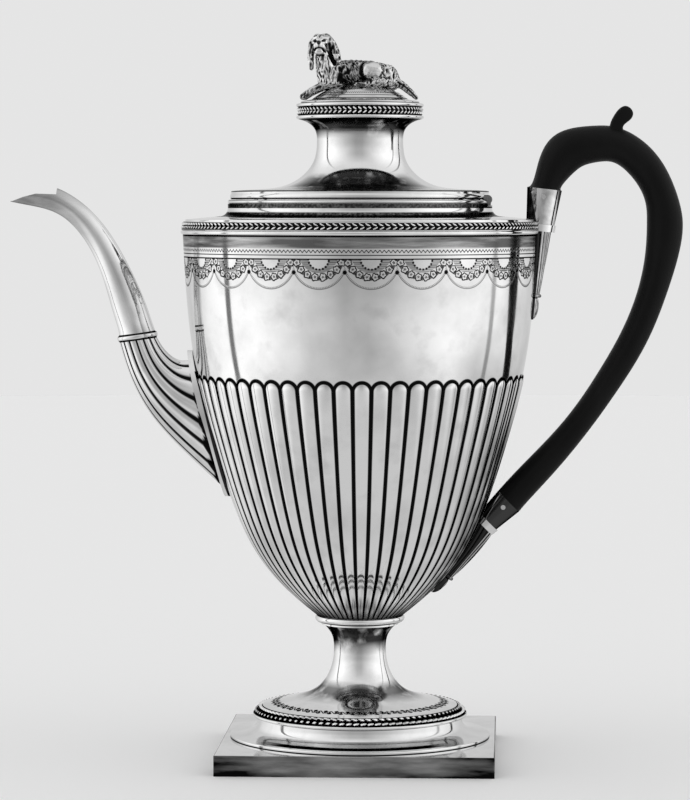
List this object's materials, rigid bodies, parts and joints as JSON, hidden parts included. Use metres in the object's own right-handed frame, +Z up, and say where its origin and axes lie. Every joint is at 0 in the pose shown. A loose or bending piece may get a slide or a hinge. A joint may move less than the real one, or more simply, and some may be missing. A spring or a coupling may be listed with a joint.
{
  "type": "coffee pot",
  "caption": "Silver coffee pot with a fluted urn body on a square plinth, curved spout, black wood scroll handle and a hinged waisted lid with a reclining dog finial.",
  "frame": {"origin": "centre of the plinth's underside, on the table", "axes": "+Z up, +X towards the handle, -X towards the spout, -Y towards the viewer"},
  "size_m": [0.3093, 0.1648, 0.3334],
  "materials": {
    "silver_plain": "polished silver, softened by use",
    "silver_stem": "polished silver with fine engraving",
    "silver_wire": "stamped silver wire, dark in its recesses",
    "silver_bowl": "polished silver, fluted",
    "silver_drum": "polished silver with bright-cut engraving",
    "silver_spout": "polished silver",
    "silver_mount": "polished silver",
    "silver_lid": "polished silver with fine line engraving",
    "silver_cast": "cast silver, chased coat",
    "ebony": "black wood, waxed"
  },
  "bodies": {
    "pot": {"plinth_sides": "silver_plain", "plinth_top": "silver_plain", "foot_base": "silver_plain", "foot_wire": "silver_wire", "foot_stem": "silver_stem", "stem_collar": "silver_plain", "body_bowl": "silver_bowl", "body_drum": "silver_drum", "rim_reed": "silver_plain", "rim_wire": "silver_wire", "shoulder": "silver_plain", "mouth_ring": "silver_plain", "spout_seat": "silver_spout", "spout_root": "silver_spout", "spout_band": "silver_spout", "spout_neck": "silver_spout", "handle": "ebony", "upper_socket": "silver_mount", "upper_collar": "silver_mount", "upper_drop": "silver_mount", "upper_pin": "silver_plain", "lower_socket": "silver_mount", "lower_collar": "silver_mount", "lower_drop": "silver_mount", "lower_pin": "silver_plain", "hinge_seat": "silver_plain", "hinge_pin": "silver_plain"},
    "lid": {"hinge_leaf": "silver_plain", "lid_ring": "silver_lid", "lid_bezel": "silver_plain", "lid_cone": "silver_lid", "lid_band": "silver_wire", "lid_cap": "silver_lid", "dog_finial": "silver_cast", "finial_screw": "silver_plain", "finial_nut": "silver_plain"}
  },
  "joints": [
    {"name": "lid_hinge", "type": "hinge", "parent": "pot", "child": "lid", "pos_m": [0.0585, 0, 0.25712], "axis": [0, 1, 0], "range_deg": [0, 80]}
  ]
}
